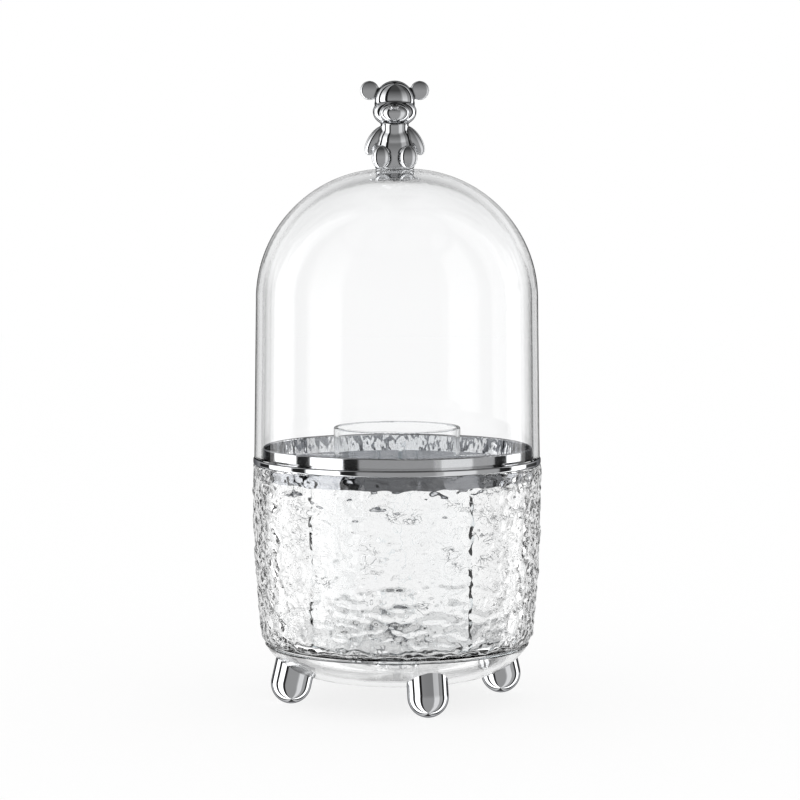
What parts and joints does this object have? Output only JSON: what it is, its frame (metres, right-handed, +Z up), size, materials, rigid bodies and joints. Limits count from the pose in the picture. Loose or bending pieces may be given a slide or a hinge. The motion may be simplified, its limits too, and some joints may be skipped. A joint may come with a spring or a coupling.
{
  "type": "dustproof makeup organizer",
  "caption": "Clear domed organizer for brushes and cosmetics: a lift-off lid with a bear knob over a divided cup that turns on a footed bowl.",
  "frame": {"origin": "on the floor under the centre of the cup", "axes": "+Z up along the axis that the cup turns on, front towards -Y, +X to the right seen from the front"},
  "size_m": [0.1356, 0.1356, 0.2911],
  "materials": {
    "clear_dome": "clear polished",
    "clear_cup": "clear, hammered like ice outside",
    "clear_insert": "clear polished",
    "clear_bowl": "clear polished",
    "plated_ring": "bright plated plastic",
    "plated_feet": "bright plated plastic",
    "plated_bear": "bright plated plastic",
    "glide_plastic": "waxy white",
    "washer_steel": "zinc plated",
    "screw_steel": "zinc plated"
  },
  "bodies": {
    "base": {"base_bowl": "clear_bowl", "foot_front": "plated_feet", "foot_right": "plated_feet", "foot_back": "plated_feet", "foot_left": "plated_feet", "glide_washer": "glide_plastic", "retaining_washer": "washer_steel", "pivot_screw": "screw_steel"},
    "turning_cup": {"cup": "clear_cup", "collar_ring": "plated_ring"},
    "insert": {"divider_insert": "clear_insert"},
    "lid": {"dome": "clear_dome", "bear_figure": "plated_bear"}
  },
  "joints": [
    {"name": "cup_spin", "type": "hinge", "parent": "base", "child": "turning_cup", "pos_m": [0, 0, 0.0283], "axis": [0, 0, 1], "continuous": true},
    {"name": "lid_lift", "type": "slide", "parent": "turning_cup", "child": "lid", "axis": [0, 0, 1], "range_m": [0, 0.15]},
    {"name": "insert_lift", "type": "slide", "parent": "turning_cup", "child": "insert", "axis": [0, 0, 1], "range_m": [0, 0.092]}
  ]
}
